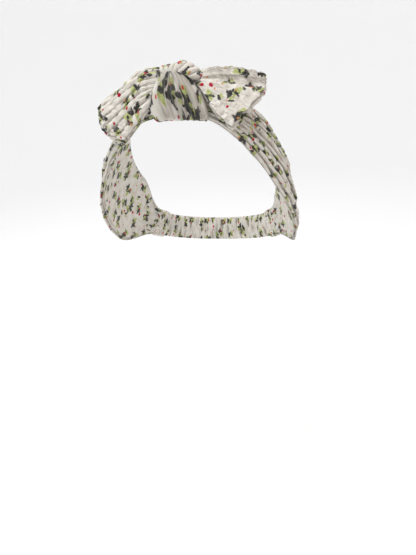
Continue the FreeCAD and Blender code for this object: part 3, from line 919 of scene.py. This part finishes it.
def make_nape():
    piece = make_tube("nape_casing_cloth", np.linspace(0.70, 1.30, 420), 96, *CASING_SIZE,
                      casing_gathers, 700)
    bend_with_nape(piece)
    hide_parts("nape_casing")
    elastic = strip_grid(np.linspace(0.69, 1.31, 120), ELASTIC_WIDTH, STRAP_MIDDLE)
    places = cloth_places(120, 24, ELASTIC_WIDTH, 250)
    piece = cloth_piece("nape_elastic_band", elastic, places, ELASTIC, 1.2)
    bend_with_nape(piece)
    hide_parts("nape_elastic")
    sew_casing()


def strip_grid(reach, width, height):
    """A flat strip along the loop, as a grid of points."""
    across = np.linspace(-width / 2, width / 2, 24)[None, :] * np.ones((len(reach), 1))
    return on_loop(np.broadcast_to(reach[:, None], across.shape), across, across * 0 + height)


def sew_casing():
    """Two rows of stitches on the outside of the casing, one each side of the elastic."""
    reach = np.linspace(0.78, 1.22, 260)
    grid = strip_grid(reach, 2 * CASING_ROW, STRAP_MIDDLE + 3.0)
    sew("casing_thread", grid, [(None, 0), (None, grid.shape[1] - 1)], 0.1, bend_with_nape,
        "casing_stitches")


def make_cuffs():
    for side, label in ((-1, "left"), (1, "right")):
        ends = sorted((side * (CUFF_START - 0.018), side * (CUFF_END + 0.003)))
        piece = make_tube(f"cuff_{label}_cloth", np.linspace(*ends, 60), 96, *CUFF_SIZE,
                          cuff_pleats, 800 + 60 * side, 0.4)
        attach(piece, "band")
        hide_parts(f"cuff_{label}")
        reach = np.linspace(side * CUFF_START, side * CUFF_END, 5)
        grid = strip_grid(reach, 23.0, STRAP_MIDDLE + 4.9)
        sew(f"cuff_{label}_thread", grid, [(1, None), (3, None)], 0.1,
            lambda piece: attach(piece, "band"), f"cuff_stitches_{label}")


def keep_stitches():
    """Thread nodes that lie where the CAD has them keep their shape and get their material."""
    for name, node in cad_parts.items():
        if "stitches" in name or "tack" in name:
            node.data.materials.clear()
            node.data.materials.append(THREAD)


# ---------------------------------------------------------------- stage

def make_camera():
    """A camera 0.36 m from the head's middle, looking 29 degrees down from the wearer's left."""
    azimuth, pitch, lean = (math.radians(a) for a in (9.5, 29.1, -4.0))
    distance, rise = 0.330, 0.153
    centre = Vector((-0.005, 0, 0.003))
    place = Vector((distance * math.sin(azimuth), -distance * math.cos(azimuth), rise))
    level = Vector((-math.sin(azimuth), math.cos(azimuth), 0))
    right = Vector((math.cos(azimuth), math.sin(azimuth), 0))
    forward = level * math.cos(pitch) - Vector((0, 0, 1)) * math.sin(pitch)
    up = right.cross(forward)
    upright = Matrix.Rotation(lean, 3, "Y").transposed()
    turn = Matrix((upright @ right, upright @ up, upright @ -forward)).transposed()
    camera = bpy.data.objects.new("camera", bpy.data.cameras.new("camera"))
    camera.data.sensor_width = 36
    camera.data.lens = 27.05
    camera.matrix_world = Matrix.Translation(upright @ (place - centre)) @ turn.to_4x4()
    bpy.context.scene.collection.objects.link(camera)
    bpy.context.scene.camera = camera


def area_light(name, place, aim, width, power, colour=(1, 1, 1)):
    light = bpy.data.lights.new(name, "AREA")
    light.size = width
    light.energy = power
    light.color = colour
    thing = bpy.data.objects.new(name, light)
    thing.location = place
    direction = Vector(aim) - Vector(place)
    thing.rotation_mode = "QUATERNION"
    thing.rotation_quaternion = direction.to_track_quat("-Z", "Y")
    bpy.context.scene.collection.objects.link(thing)


def make_backdrop():
    """A round pale floor that sweeps up into a wall on every side."""
    floor, flat, radius, top = -320.0, 1500.0, 900.0, 2400.0
    turn = np.linspace(0, math.pi / 2, 20)
    out = np.concatenate([[flat / 3, flat / 2], flat + radius * np.sin(turn), [flat + radius]])
    rise = np.concatenate([[0, 0], radius * (1 - np.cos(turn)), [top]]) + floor
    around = np.linspace(0, 2 * math.pi, 96, endpoint=False)
    points = np.stack(np.broadcast_arrays(out[:, None] * np.cos(around),
                                          out[:, None] * np.sin(around), rise[:, None]), axis=-1)
    n = Nodes("pale_backdrop")
    n.shader.inputs["Base Color"].default_value = (0.99, 0.99, 0.99, 1)
    n.shader.inputs["Roughness"].default_value = 0.95
    points = points.reshape(-1, 3)
    faces = np.concatenate([grid_faces(len(out), 96, True), ring_cap(96)[:, ::-1]])
    make_mesh("backdrop", points, faces, points[:, :2] * 0, n.material)


def make_stage():
    scene = bpy.context.scene
    world = bpy.data.worlds.new("studio")
    world.use_nodes = True
    world.node_tree.nodes["Background"].inputs[0].default_value = (0.97, 0.98, 1, 1)
    world.node_tree.nodes["Background"].inputs[1].default_value = 0.45
    scene.world = world
    scene.view_settings.view_transform = "Standard"
    area_light("key", (-0.45, -0.25, 1.0), (0, 0, 0.05), 0.30, 5.5)
    area_light("fill", (0.9, -0.6, 0.5), (0, 0, 0.05), 0.8, 1.6, (1.0, 0.72, 0.60))
    area_light("softbox", (0, 0, 2.0), (0, 0, 0), 2.6, 24.0)
    make_backdrop()


def main():
    make_camera()
    make_stage()
    make_band()
    make_lining()
    make_knot()
    make_tails()
    make_nape()
    make_cuffs()
    keep_stitches()


main()
